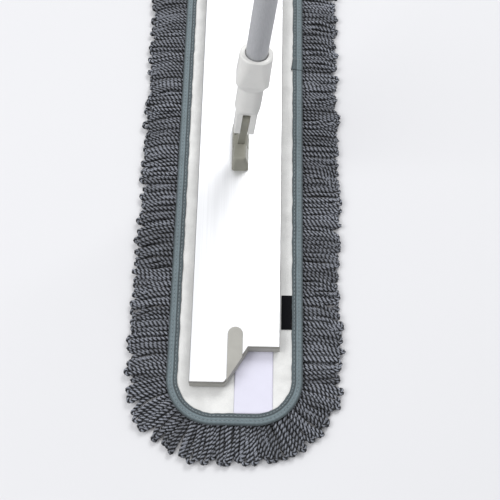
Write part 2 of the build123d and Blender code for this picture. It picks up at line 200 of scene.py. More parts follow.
def evenly_spaced(points, step):
    """The same line with its points a steady distance apart."""
    gaps = np.linalg.norm(np.diff(points, axis=0), axis=1)
    along = np.concatenate([[0.0], np.cumsum(gaps)])
    count = max(3, int(round(along[-1] / step)) + 1)
    wanted = np.linspace(0.0, along[-1], count)
    line = np.stack([np.interp(wanted, along, points[:, i]) for i in range(3)], axis=1)
    return line, wanted


def side_and_lift(line):
    """Two directions square to a line at each of its points."""
    ahead = np.gradient(line, axis=0)
    ahead /= np.linalg.norm(ahead, axis=1)[:, None]
    side = np.cross(ahead, (0.0, 0.0, 1.0))
    side /= np.maximum(np.linalg.norm(side, axis=1)[:, None], 1e-9)
    return side, np.cross(side, ahead)


def pad_edge(distance, inset=0.0):
    """Points and outward directions round the pad's edge at distances along it."""
    straight_width = 2 * (PAD_HALF_WIDTH - CORNER_RADIUS)
    straight_length = 2 * STRAIGHT_HALF
    arc = CORNER_RADIUS * pi / 2
    runs = [straight_length, arc, straight_width, arc] * 2
    starts = np.concatenate([[0.0], np.cumsum(runs)])
    distance = np.asarray(distance, float) % starts[-1]
    corner_x = PAD_HALF_WIDTH - CORNER_RADIUS
    corners = [(corner_x, STRAIGHT_HALF), (-corner_x, STRAIGHT_HALF),
               (-corner_x, -STRAIGHT_HALF), (corner_x, -STRAIGHT_HALF)]
    point = np.zeros((len(distance), 2))
    outward = np.zeros((len(distance), 2))
    for i, run in enumerate(runs):
        inside = (distance >= starts[i]) & (distance < starts[i + 1])
        part = distance[inside] - starts[i]
        quarter = i // 2
        centre = np.array(corners[quarter])
        if i % 2 == 0:
            direction = np.array((cos(quarter * pi / 2), sin(quarter * pi / 2)))
            forward = np.array((-direction[1], direction[0]))
            point[inside] = centre + direction * CORNER_RADIUS - forward * (run - part)[:, None]
            outward[inside] = direction
        else:
            angle = quarter * pi / 2 + part / CORNER_RADIUS
            direction = np.stack([np.cos(angle), np.sin(angle)], axis=1)
            point[inside] = centre + direction * CORNER_RADIUS
            outward[inside] = direction
    return point - outward * inset, outward


def pad_edge_length():
    """The distance once round the pad's edge."""
    return 4 * (PAD_HALF_WIDTH - CORNER_RADIUS) + 4 * STRAIGHT_HALF + 2 * pi * CORNER_RADIUS


# ---- yarn ----------------------------------------------------------------------------------------

YARN_SIDES = 8
FRINGE_STEP = 1.25 * MM
PILE_STEP = 1.7 * MM
ROOT_INSET = 1.5 * MM


def yarn_section(thickness):
    """The waisted outline of two plies laid together: angles, radii and how near each is to a crest."""
    angle = np.arange(YARN_SIDES) * 2 * pi / YARN_SIDES
    crest = np.abs(np.cos(angle))
    radius = thickness / 2 * (0.42 + 0.58 * crest ** 0.85)
    return angle, radius, crest


def yarn_piece(name, lines, thickness, twist, step, tones, phases):
    """One mesh of many twisted yarns along the given lines."""
    angle, radius, crest = yarn_section(thickness)
    vertices = []
    faces = []
    painted_crest_light = []
    shades = []
    start = 0
    for line, tone, phase in zip(lines, tones, phases):
        points, along = evenly_spaced(line, step)
        side, lift = side_and_lift(points)
        turn = phase - 2 * pi * along / twist
        around = angle[None, :] + turn[:, None]
        end_taper = np.ones(len(points))
        end_taper[0] = end_taper[-1] = 0.55
        reach = radius[None, :] * end_taper[:, None]
        ring = (
            points[:, None, :]
            + side[:, None, :] * (np.cos(around) * reach)[:, :, None]
            + lift[:, None, :] * (np.sin(around) * reach)[:, :, None]
        )
        vertices.append(ring.reshape(-1, 3))
        faces += grid_faces(len(points), YARN_SIDES, True, start)
        faces.append([start + i for i in range(YARN_SIDES)][::-1])
        last = start + (len(points) - 1) * YARN_SIDES
        faces.append([last + i for i in range(YARN_SIDES)])
        # Painted light: the crest value gives the plies' crests a painted highlight and darkens the waists
        # and the flanks that face the next yarn into painted shade.
        open_side = smoothstep((np.abs(np.sin(around)) - 0.05) / 0.7)
        painted_crest_light.append((crest[None, :] * (0.22 + 0.78 * open_side)).reshape(-1))
        shades.append(np.full(len(points) * YARN_SIDES, tone))
        start += len(points) * YARN_SIDES
    piece = new_piece(name, np.concatenate(vertices), faces)
    keep_values(piece, "crest", np.concatenate(painted_crest_light))
    keep_values(piece, "shade", np.concatenate(shades))
    return piece


def loop_line(root, outward, reach, width, lean, heights, draw):
    """One loop's line: out from under the tape, round its end and back."""
    along = np.array((-outward[1], outward[0]))
    hidden = 4 * MM
    closing = draw.choice((0.55, 0.85, 1.15, 1.45), p=(0.2, 0.3, 0.3, 0.2))
    tip_radius = width / 2 * closing
    straight = reach - tip_radius
    top, bottom = heights
    ride = draw.normal(0.0, 0.55) * MM
    curl = draw.normal(0.0, 1.3) * MM

    def strand(shares, start, finish, over):
        sway = draw.normal(0.0, 0.9) * MM
        shiver = draw.uniform(0.15, 0.5) * MM
        phase = draw.uniform(0.0, 2 * pi)
        waves = draw.uniform(1.0, 2.2)
        distance = -hidden + (straight + hidden) * shares
        share = np.maximum(0.0, distance) / reach
        offset = start + (finish - start) * shares ** 1.5
        moved = offset + lean * share ** 2.3 + curl * share ** 4 + sway * np.sin(pi * share)
        moved += shiver * np.sin(2 * pi * waves * share + phase) * np.minimum(1.0, share * 4)
        height = bottom + (top - bottom) * (1.0 - smoothstep(share * 1.1))
        height += over * np.sin(pi * np.minimum(1.0, share)) ** 2
        return distance, moved, np.maximum(height, bottom * 0.98)

    shares = np.linspace(0.0, 1.0, 16)
    out = strand(shares, -width / 2, -tip_radius, ride + abs(draw.normal(0.0, 0.5)) * MM)
    back = strand(shares, width / 2, tip_radius, -ride + abs(draw.normal(0.0, 0.5)) * MM)
    turn = np.linspace(0.0, pi, 9)[1:-1]
    blend = (1 - np.cos(turn)) / 2
    end_moved = out[1][-1] * (1 - blend) + back[1][-1] * blend
    end_height = out[2][-1] * (1 - blend) + back[2][-1] * blend
    bulge = tip_radius * (-np.cos(turn)) - (-tip_radius * (1 - blend) + tip_radius * blend)
    distance = np.concatenate([out[0], straight + tip_radius * np.sin(turn), back[0][::-1]])
    moved = np.concatenate([out[1], end_moved + bulge, back[1][::-1]])
    height = np.concatenate([out[2], end_height, back[2][::-1]])
    spot = root[None, :] + outward[None, :] * distance[:, None] + along[None, :] * moved[:, None]
    return np.column_stack([spot, height])


def clumps(distance, around, draw):
    """How far each loop leans as loose yarn gathers in tufts with gaps between them."""
    gaps = np.cumsum(draw.uniform(20.0, 46.0, 80)) * MM
    gaps = np.concatenate([[0.0], gaps[gaps < around - 18 * MM], [around]])
    pull = np.abs(draw.normal(0.0, 2.9, len(gaps))) * MM + 0.8 * MM
    pull[-1] = pull[0]
    whole = distance % around
    tuft = np.clip(np.searchsorted(gaps, whole, side="right") - 1, 0, len(gaps) - 2)
    start, finish = gaps[tuft], gaps[tuft + 1]
    share = (whole - start) / (finish - start)
    towards = pull[tuft] * (1 - share) ** 1.5 - pull[tuft + 1] * share ** 1.5
    drift = 1.6 * MM * swell(whole, 83 * MM, 0.7) + 1.1 * MM * swell(whole, 131 * MM)
    return towards + drift


# ---- material helpers ----------------------------------------------------------------------------

class Finish:
    """A node material with the few calls that the finishes below share."""

    def __init__(self, name, **sockets):
        self.material = bpy.data.materials.new(name)
        self.material.use_nodes = True
        self.tree = self.material.node_tree
        self.shader = self.tree.nodes["Principled BSDF"]
        for socket, value in sockets.items():
            self.shader.inputs[socket.replace("_", " ")].default_value = value
        self.place = self.node("ShaderNodeTexCoord").outputs["Object"]

    def node(self, kind, **settings):
        made = self.tree.nodes.new(kind)
        for name, value in settings.items():
            setattr(made, name, value)
        return made

    def link(self, source, target):
        self.tree.links.new(source, target)

    def stretched(self, scale):
        """The place on the piece, scaled differently along each axis."""
        mapping = self.node("ShaderNodeMapping")
        mapping.inputs["Scale"].default_value = scale
        self.link(self.place, mapping.inputs["Vector"])
        return mapping.outputs["Vector"]

    def noise(self, scale, detail=3.0, roughness=0.55, place=None):
        made = self.node("ShaderNodeTexNoise")
        made.inputs["Scale"].default_value = scale
        made.inputs["Detail"].default_value = detail
        made.inputs["Roughness"].default_value = roughness
        self.link(place or self.place, made.inputs["Vector"])
        return made.outputs["Fac"]

    def wave(self, scale, axis, distortion=0.0, place=None):
        made = self.node("ShaderNodeTexWave", bands_direction=axis)
        made.inputs["Scale"].default_value = scale
        made.inputs["Distortion"].default_value = distortion
        self.link(place or self.place, made.inputs["Vector"])
        return made.outputs["Fac"]

    def attribute(self, name):
        return self.node("ShaderNodeAttribute", attribute_name=name).outputs["Fac"]

    def math(self, operation, first, second):
        made = self.node("ShaderNodeMath", operation=operation)
        for value, socket in zip((first, second), made.inputs):
            if isinstance(value, (int, float)):
                socket.default_value = value
            else:
                self.link(value, socket)
        return made.outputs["Value"]

    def ramp(self, source, low, high, start=0.0, end=1.0):
        """A value spread between two colours."""
        made = self.node("ShaderNodeMapRange", interpolation_type="SMOOTHSTEP")
        made.inputs["From Min"].default_value = start
        made.inputs["From Max"].default_value = end
        self.link(source, made.inputs["Value"])
        mix = self.node("ShaderNodeMix", data_type="RGBA")
        self.link(made.outputs["Result"], mix.inputs["Factor"])
        mix.inputs["A"].default_value = (*low, 1.0)
        mix.inputs["B"].default_value = (*high, 1.0)
        return mix.outputs["Result"]

    def shaded(self, source, base, low, high, start=0.0, end=1.0):
        """A value spread between a darker and a lighter shade of one colour."""
        darker = tuple(c * low for c in base)
        lighter = tuple(min(1.0, c * high) for c in base)
        return self.ramp(source, darker, lighter, start, end)

    def between(self, source, low, high):
        """A value from 0 to 1 moved to lie between two others."""
        made = self.node("ShaderNodeMapRange")
        made.inputs["To Min"].default_value = low
        made.inputs["To Max"].default_value = high
        self.link(source, made.inputs["Value"])
        return made.outputs["Result"]

    def tinted(self, base, source, low, high):
        """A colour made darker or lighter by a value."""
        mix = self.node("ShaderNodeMix", data_type="RGBA", blend_type="MULTIPLY")
        mix.inputs["Factor"].default_value = 1.0
        self.link(base, mix.inputs["A"])
        self.link(self.between(source, low, high), mix.inputs["B"])
        return mix.outputs["Result"]

    def upright(self, source):
        """The third part of a direction or a place."""
        split = self.node("ShaderNodeSeparateXYZ")
        self.link(source, split.inputs["Vector"])
        return split.outputs["Z"]

    def colour(self, source):
        self.link(source, self.shader.inputs["Base Color"])

    def roughness(self, source, low, high):
        self.link(self.between(source, low, high), self.shader.inputs["Roughness"])

    def bump(self, source, height, strength=1.0):
        """Raises the surface by a height in metres where the value is 1."""
        made = self.node("ShaderNodeBump")
        made.inputs["Strength"].default_value = strength
        made.inputs["Distance"].default_value = height
        self.link(source, made.inputs["Height"])
        self.link(made.outputs["Normal"], self.shader.inputs["Normal"])


# Where nearly all values of a noise texture lie.
NOISE_SPREAD = (0.3, 0.7)


def yarn_finish(settings):
    finish = Finish("yarn_grey_twist", Roughness=0.9, Sheen_Weight=0.2, Sheen_Roughness=0.45)
    # Painted highlight on the crests and painted shade in the grooves and on the flanks, from the yarn's
    # crest value.
    base = finish.ramp(finish.attribute("crest"), settings.groove_shade, settings.crest, 0.38, 1.03)
    base = finish.tinted(base, finish.attribute("shade"), 0.70, 1.25)
    patches = finish.noise(60.0, 2.0, 0.5)
    base = finish.tinted(base, patches, 0.72, 1.25)
    fibres = finish.noise(1500.0, 3.0, 0.7)
    finish.colour(finish.tinted(base, fibres, 0.50, 1.50))
    finish.bump(fibres, 0.0004, 0.7)
    return finish.material


def loop_cloth_finish(settings):
    finish = Finish("loop_cloth_white", Roughness=0.97, Sheen_Weight=0.35, Sheen_Roughness=0.6)
    nap = finish.noise(1100.0, 4.0, 0.7)
    clouds = finish.noise(55.0, 3.0, 0.6)
    base = finish.shaded(clouds, settings.loop_cloth, 0.90, 1.05, *NOISE_SPREAD)
    finish.colour(finish.tinted(base, nap, 0.90, 1.08))
    finish.bump(finish.math("ADD", nap, finish.math("MULTIPLY", clouds, 1.5)), 0.0006, 0.6)
    return finish.material


def tape_finish(settings):
    finish = Finish("edge_tape_weave", Roughness=0.85, Sheen_Weight=0.3, Sheen_Roughness=0.45)
    ribs = finish.attribute("rib")
    flecks = finish.noise(900.0, 3.0, 0.65)
    worn = finish.noise(70.0, 2.0, 0.5)
    # The tape's colour is spread between darker and lighter by its painted shade across it.
    base = finish.shaded(finish.attribute("painted_tape_shade"), settings.tape, 0.36, 1.30)
    base = finish.tinted(base, flecks, 0.66, 1.34)
    base = finish.tinted(base, worn, 0.82, 1.18)
    finish.colour(finish.tinted(base, ribs, 0.93, 1.05))
    finish.bump(finish.math("ADD", ribs, flecks), 0.0003, 0.6)
    return finish.material


def thread_finish(settings):
    finish = Finish("sewing_thread", Roughness=0.7, Sheen_Weight=0.3)
    twist = finish.noise(2500.0, 2.0, 0.6)
    finish.colour(finish.shaded(twist, settings.thread, 0.7, 1.25))
    finish.bump(twist, 0.0001, 0.6)
    return finish.material


def label_finish(settings):
    finish = Finish("label_black_weave", Roughness=0.9, Specular_IOR_Level=0.15)
    weave = finish.math("MULTIPLY", finish.wave(900.0, "X"), finish.wave(900.0, "Y"))
    finish.colour(finish.shaded(weave, settings.label, 0.6, 2.4))
    finish.bump(weave, 0.0002, 0.6)
    return finish.material


def patch_finish(settings):
    finish = Finish("patch_smooth_cloth", Roughness=0.55, Sheen_Weight=0.3)
    ribs = finish.wave(420.0, "X", 0.6)
    drift = finish.noise(90.0, 3.0, 0.5)
    finish.colour(finish.shaded(finish.math("MULTIPLY", ribs, drift), settings.patch, 0.93, 1.04))
    finish.bump(ribs, 0.00015, 0.5)
    return finish.material


def hook_tape_finish():
    finish = Finish("hook_tape_nylon", Roughness=0.6)
    hooks = finish.math("MULTIPLY", finish.wave(260.0, "X"), finish.wave(260.0, "Y"))
    finish.colour(finish.ramp(hooks, (0.16, 0.16, 0.16), (0.42, 0.42, 0.41)))
    finish.bump(hooks, 0.0008, 0.8)
    return finish.material


def plate_finish(settings):
    finish = Finish("plate_drawn_aluminium", Metallic=1.0, Roughness=0.35)
    drawn = finish.noise(900.0, 4.0, 0.6, finish.stretched((1.0, 0.004, 1.0)))
    clouds = finish.noise(14.0, 3.0, 0.5)
    base = finish.shaded(drawn, settings.plate, 0.97, 1.03, *NOISE_SPREAD)
    base = finish.tinted(base, clouds, 0.97, 1.02)
    # Painted shade: the plate's sides and rounded edges are darkened into a dark edge line, and only faces
    # that look straight up keep the full colour.
    facing = finish.upright(finish.node("ShaderNodeNewGeometry").outputs["Normal"])
    lit_top = finish.math("POWER", finish.math("MAXIMUM", facing, 0.0), 8.0)
    finish.colour(finish.tinted(base, lit_top, 0.38, 1.0))
    finish.roughness(drawn, 0.30, 0.46)
    finish.bump(drawn, 0.00003, 0.5)
    return finish.material


def moulded_finish(name, base, rough, grain=1800.0, spread=0.08, bump=0.00006, rim=None):
    """Moulded plastic with a fine spark grain, a slight drift in its colour and, where it has a rim
    that meets another piece, a painted shadow line at the rim's height."""
    finish = Finish(name, Roughness=rough)
    spark = finish.noise(grain, 3.0, 0.6)
    drift = finish.noise(38.0, 3.0, 0.55)
    tone = finish.shaded(drift, base, 1.0 - spread, 1.0 + spread, *NOISE_SPREAD)
    tone = finish.tinted(tone, spark, 0.96, 1.04)
    # Painted shadow in the gap where the rim meets the other piece: darkest at the rim's height, fading
    # within half a millimetre.
    if rim is not None:
        apart = finish.math("ABSOLUTE", finish.math("SUBTRACT", finish.upright(finish.place), rim), 0.0)
        line = finish.math("MINIMUM", finish.math("DIVIDE", apart, 0.5 * MM), 1.0)
        tone = finish.tinted(tone, finish.math("POWER", line, 3.0), 0.42, 1.0)
    finish.colour(tone)
    finish.roughness(spark, rough - 0.08, rough + 0.10)
    finish.bump(spark, bump, 0.6)
    return finish.material


def pole_finish(settings):
    finish = Finish("pole_matt_anodised", Metallic=0.35, Roughness=0.42)
    drawn = finish.noise(1400.0, 3.0, 0.6, finish.stretched((1.0, 1.0, 0.01)))
    clouds = finish.noise(22.0, 3.0, 0.5)
    base = finish.shaded(drawn, settings.pole, 0.94, 1.06, *NOISE_SPREAD)
    finish.colour(finish.tinted(base, clouds, 0.96, 1.04))
    finish.roughness(drawn, 0.36, 0.50)
    finish.bump(drawn, 0.00002, 0.5)
    return finish.material


def rubber_finish(settings):
    finish = Finish("grip_soft_rubber", Roughness=0.75)
    grain = finish.noise(1600.0, 4.0, 0.7)
    rubbed = finish.noise(30.0, 3.0, 0.6)
    base = finish.shaded(rubbed, settings.grip, 0.80, 1.25, *NOISE_SPREAD)
    finish.colour(finish.tinted(base, grain, 0.9, 1.1))
    finish.roughness(grain, 0.62, 0.85)
    finish.bump(grain, 0.0001, 0.7)
    return finish.material


def steel_finish(settings):
    finish = Finish("pin_steel_turned", Metallic=1.0, Roughness=0.35)
    turned = finish.noise(2600.0, 3.0, 0.6)
    finish.colour(finish.shaded(turned, settings.steel, 0.85, 1.1, *NOISE_SPREAD))
    finish.roughness(turned, 0.25, 0.45)
    finish.bump(turned, 0.00002, 0.5)
    return finish.material


def put_on(material, *pieces):
    """Give pieces one material."""
    for piece in pieces:
        piece.data.materials.clear()
        piece.data.materials.append(material)


def node(name):
    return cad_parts[name]


# ---- operators: the pad --------------------------------------------------------------------------

class MOP_OT_fringe(Operator):
    """Make the loose loops of twisted yarn all round the pad"""
    bl_idname = "mop.fringe"
    bl_label = "Fringe"

    def execute(self, context):
        settings = context.scene.mop_yarn
        draw = np.random.default_rng(settings.seed)
        material = yarn_finish(settings)
        around = pad_edge_length()
        radius = settings.yarn / 2
        # Each layer's highest and lowest middle, share of the reach, offset in pitches and gathering.
        layers = (
            (TAPE_LOW.z - radius, radius * 2.3, 1.0, 0.0, 1.0),
            (TAPE_LOW.z - 1.8 * radius, radius * 1.6, 0.98, 0.5, 0.75),
            (TAPE_LOW.z - 2.7 * radius, radius * 1.1, 0.90, 0.25, 0.25),
        )
        groups = {"fringe_left": [], "fringe_right": [], "fringe_front": [], "fringe_rear": []}
        for top, bottom, share, offset, gathering in layers:
            count = int(round(around / settings.pitch))
            places = (np.arange(count) + offset + draw.uniform(-0.2, 0.2, count)) * around / count
            roots, outwards = pad_edge(places, ROOT_INSET)
            leans = clumps(places, around, draw) * gathering
            for root, outward, lean in zip(roots, outwards, leans):
                side_on = abs(outward[0])
                reach = settings.end_reach + (settings.side_reach - settings.end_reach) * side_on + ROOT_INSET
                reach *= share * min(1.04, draw.normal(0.955, 0.058))
                trail = -settings.trail * outward[0] * smoothstep((side_on - 0.8) / 0.2)
                if outward[0] > 0:
                    trail *= 0.3
                line = loop_line(
                    root, outward, reach, settings.pitch * 0.5 * draw.uniform(0.9, 1.1),
                    lean + float(trail) + draw.normal(0.0, 1.5) * MM,
                    (top + draw.normal(0.0, 0.25) * MM, bottom + abs(draw.normal(0.0, 0.55)) * MM), draw,
                )
                if abs(root[1]) <= STRAIGHT_HALF:
                    name = "fringe_right" if root[0] > 0 else "fringe_left"
                else:
                    name = "fringe_rear" if root[1] > 0 else "fringe_front"
                groups[name].append(line)
        for name, lines in groups.items():
            piece = yarn_piece(
                name + "_yarn", lines, settings.yarn, settings.twist, FRINGE_STEP,
                draw.uniform(0.0, 1.0, len(lines)), draw.uniform(0.0, 2 * pi, len(lines)),
            )
            put_on(material, piece)
            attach(piece, "pad")
            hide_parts(name)
        return {"FINISHED"}


class MOP_OT_pile(Operator):
    """Make the rows of yarn that the pad sweeps with"""
    bl_idname = "mop.pile"
    bl_label = "Pile"

    def execute(self, context):
        settings = context.scene.mop_yarn
        draw = np.random.default_rng(settings.seed + 1)
        radius = settings.yarn / 2
        half_width = PILE_HIGH.x - radius
        half_length = PILE_HIGH.y - radius
        corner = CORNER_RADIUS - (PAD_HALF_WIDTH - half_width)
        row_count = int(2 * half_width / (settings.yarn * 1.05))
        lines = []
        for x in np.linspace(-half_width, half_width, row_count):
            past = max(0.0, abs(x) - (half_width - corner))
            end = half_length - corner + (corner ** 2 - past ** 2) ** 0.5
            y = np.arange(-end, end, 1.2 * MM)
            bumps = 0.5 + 0.5 * swell(y, 13 * MM, draw.uniform(0, 2 * pi))
            height = radius + (PILE_HIGH.z - 3.2 * radius) * bumps
            sway = 0.7 * MM * swell(y, 21 * MM, draw.uniform(0, 2 * pi))
            lines.append(np.stack([x + sway, y, height], axis=1))
        piece = yarn_piece(
            "pile_yarn", lines, settings.yarn, settings.twist, PILE_STEP,
            draw.uniform(0.0, 1.0, len(lines)), draw.uniform(0.0, 2 * pi, len(lines)),
        )
        base = pad_slab("pile_base", 2.5 * MM, PILE_HIGH.z - 2.4 * radius, TAPE_LOW.z, 3 * MM, 0.0004)
        for made in (piece, base):
            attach(made, "pad")
            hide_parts("pad_pile")
        material = yarn_finish(settings)
        put_on(material, piece)
        put_on(moulded_finish("pile_base_cloth", settings.crest, 0.9, 900.0, 0.3, 0.0003), base)
        return {"FINISHED"}


def pad_slab(name, inset, low, high, step, ripple):
    """A flat closed slab with the pad's outline and a slightly uneven top."""
    distance = np.arange(0.0, pad_edge_length(), step)
    reach = PAD_HALF_WIDTH - 1 * MM
    insets = [inset] + list(np.arange(inset + 0.6 * MM, reach, step)) + [reach]
    rings = [inner_ring(distance, ring_inset) for ring_inset in insets]
    top = np.concatenate([np.column_stack([r, np.full(len(r), high)]) for r in rings])
    fine = np.sin(top[:, 0] * 310 + 1.3) * np.sin(top[:, 1] * 270)
    broad = np.sin(top[:, 1] * 95 + top[:, 0] * 160)
    top[:, 2] -= ripple * (0.5 + 0.25 * (fine + broad))
    bottom = top.copy()
    bottom[:, 2] = low
    count = len(distance)
    faces = grid_faces(len(rings), count, True)
    faces.append(list(range(len(top) - count, len(top))))
    faces = [f[::-1] for f in faces]
    low_faces = [[v + len(top) for v in f[::-1]] for f in faces]
    wall = [[i, (i + 1) % count, len(top) + (i + 1) % count, len(top) + i][::-1] for i in range(count)]
    return new_piece(name, np.concatenate([top, bottom]), faces + low_faces + wall)


def inner_ring(distance, inset):
    """The pad's outline drawn in by any amount, down to its centre line."""
    point, outward = pad_edge(distance)
    half_width = max(PAD_HALF_WIDTH - inset, 0.0002)
    half_length = PAD_HALF_LENGTH - inset
    corner = min(max(CORNER_RADIUS - inset, 0.0), half_width)
    core = np.stack([
        np.clip(point[:, 0], -(PAD_HALF_WIDTH - CORNER_RADIUS), PAD_HALF_WIDTH - CORNER_RADIUS)
        * (half_width - corner) / (PAD_HALF_WIDTH - CORNER_RADIUS),
        np.clip(point[:, 1], -STRAIGHT_HALF, STRAIGHT_HALF) * (half_length - corner) / STRAIGHT_HALF,
    ], axis=1)
    return core + outward * corner


class MOP_OT_cloth(Operator):
    """Make the white loop cloth, puckered where the tape is sewn to it"""
    bl_idname = "mop.cloth"
    bl_label = "Loop cloth"

    def execute(self, context):
        settings = context.scene.mop_cloth
        cloth = cloth_sheet()
        settle_cloth(cloth)
        put_on(loop_cloth_finish(settings), cloth)
        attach(cloth, "pad")
        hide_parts("pad_backing")
        return {"FINISHED"}


def cloth_sheet():
    """The cloth as one open sheet, its edge tucked under the tape."""
    step = 3.2 * MM
    distance = np.arange(0.0, pad_edge_length(), step)
    inset_start = PAD_HALF_WIDTH - BACKING_HIGH.x + 0.4 * MM
    insets = np.concatenate([[inset_start], np.arange(inset_start + step, PAD_HALF_WIDTH, step)])
    rings = [inner_ring(distance, inset) for inset in insets]
    height = BACKING_HIGH.z - 0.25 * MM
    points = np.concatenate([np.column_stack([r, np.full(len(r), height)]) for r in rings])
    count = len(distance)
    faces = grid_faces(len(rings), count, True)
    faces.append(list(range(len(points) - count, len(points))))
    faces = [f[::-1] for f in faces]
    depth = np.repeat(insets, count)
    along = np.tile(distance, len(rings))
    tape_inner = bpy.context.scene.mop_cloth.tape_width
    under_tape = depth < tape_inner - 1 * MM
    points[:, 2] -= 1.15 * tape_crown(depth) + 0.45 * MM * under_tape
    near_tape = np.exp(-np.maximum(0.0, depth - tape_inner) / (5 * MM))
    pucker = swell(along, 17 * MM, 2.2 * swell(along, 90 * MM))
    points[:, 2] += 0.22 * MM * near_tape * pucker * (depth > tape_inner - 1 * MM)
    piece = new_piece("loop_cloth", points, faces)
    held = piece.vertex_groups.new(name="held")
    held.add([int(i) for i in np.nonzero(under_tape)[0]], 1.0, "REPLACE")
    return piece


SETTLE_FRAMES = 18
# How far the settled cloth may rise under the plate and beside it, sink, and move sideways.
RISE_UNDER_PLATE, RISE_BESIDE_PLATE, SINK, SIDEWAYS = 0.25 * MM, 0.9 * MM, 0.6 * MM, 0.8 * MM


def settle_cloth(piece):
    """Let the cloth ruck up a little between its stitched edges, by a short cloth simulation."""
    rest = np.empty(len(piece.data.vertices) * 3, np.float32)
    piece.data.vertices.foreach_get("co", rest)
    rest = rest.reshape(-1, 3)
    modifier = piece.modifiers.new("settle", "CLOTH")
    cloth = modifier.settings
    cloth.quality = 5
    cloth.mass = 0.2
    cloth.tension_stiffness = 12
    cloth.compression_stiffness = 12
    cloth.bending_stiffness = 0.6
    cloth.shrink_min = -0.02
    cloth.vertex_group_mass = "held"
    cloth.use_pressure = True
    cloth.uniform_pressure_force = 0.35
    cloth.effector_weights.gravity = 0.0
    modifier.collision_settings.use_self_collision = False
    scene = bpy.context.scene
    for step in range(1, SETTLE_FRAMES + 1):
        scene.frame_set(step)
    bpy.context.view_layer.update()
    settled = piece.evaluated_get(bpy.context.evaluated_depsgraph_get())
    moved = np.empty(len(rest) * 3, np.float32)
    settled.data.vertices.foreach_get("co", moved)
    moved = moved.reshape(-1, 3)
    piece.modifiers.remove(modifier)
    scene.frame_set(1)
    shift = moved - rest
    margin = 2 * MM
    across = np.abs(rest[:, 0]) < PLATE_HIGH.x + margin
    under_plate = across & (np.abs(rest[:, 1]) < PLATE_HIGH.y + margin)
    lift = np.where(under_plate, RISE_UNDER_PLATE, RISE_BESIDE_PLATE)
    shift[:, 2] = np.clip(shift[:, 2], -SINK, lift)
    shift[:, :2] = np.clip(shift[:, :2], -SIDEWAYS, SIDEWAYS)
    piece.data.vertices.foreach_set("co", (rest + shift).reshape(-1))
    piece.data.update()


# Across the tape, as shares of its width: its two seams and the step where it is folded.
SEAM_SHARES = (0.36, 0.79)
FOLD_SHARE = 0.64


def tape_crown(inset):
    """How far the tape's top has fallen towards the pad's rim at an inset from it."""
    width = bpy.context.scene.mop_cloth.tape_width
    return 1.5 * MM * np.clip(1.0 - np.asarray(inset) / width, 0.0, 1.0) ** 1.6


def tape_section():
    """The tape's section as (inset, height) from the outer edge's underside up over to its inner edge."""
    low, high = TAPE_LOW.z, TAPE_HIGH.z
    width = bpy.context.scene.mop_cloth.tape_width
    wall = [
        (0.8 * MM, low), (0.3 * MM, low + 0.1 * MM), (0.02 * MM, low + 0.9 * MM), (0.0, (low + high) / 2),
    ]
    shoulder = [(0.15 * MM, high - 0.9 * MM), (0.6 * MM, high - 0.3 * MM), (1.3 * MM, high - 0.03 * MM)]
    shoulder = [(a, h - float(tape_crown(a))) for a, h in shoulder]
    across = np.linspace(2.0 * MM, width - 0.5 * MM, 19)
    seams = [share * width for share in SEAM_SHARES]
    dip = sum(0.40 * MM * np.exp(-((across - seam) / (0.55 * MM)) ** 2) for seam in seams)
    dip += tape_crown(across)
    top = [(float(a), float(high - d)) for a, d in zip(across, dip)]
    inner = [
        (width - 0.1 * MM, high - 0.25 * MM), (width, high - 0.7 * MM), (width - 0.2 * MM, high - 1.2 * MM),
    ]
    return np.array(wall + shoulder + top + inner), seams


def tape_surface(distance, lift=0.0):
    """The tape's points round the edge, with the small waves of sewn tape."""
    section, _ = tape_section()
    width = bpy.context.scene.mop_cloth.tape_width
    edge_wave = 0.20 * MM * swell(distance, 31 * MM)
    edge_wave += 0.13 * MM * swell(distance, 13 * MM, 1.0 + 2 * swell(distance, 71 * MM))
    puff = 0.05 * MM * swell(distance, 3.8 * MM)
    rings = []
    for inset, height in section:
        share = inset / width
        moved = inset + edge_wave * share ** 2
        points, _ = pad_edge(distance, moved[:, None])
        rise = lift + puff * (1.0 if 0.1 < share < 0.97 else 0.0)
        rings.append(np.column_stack([points, np.full(len(distance), height) + rise]))
    return np.stack(rings, axis=1), section


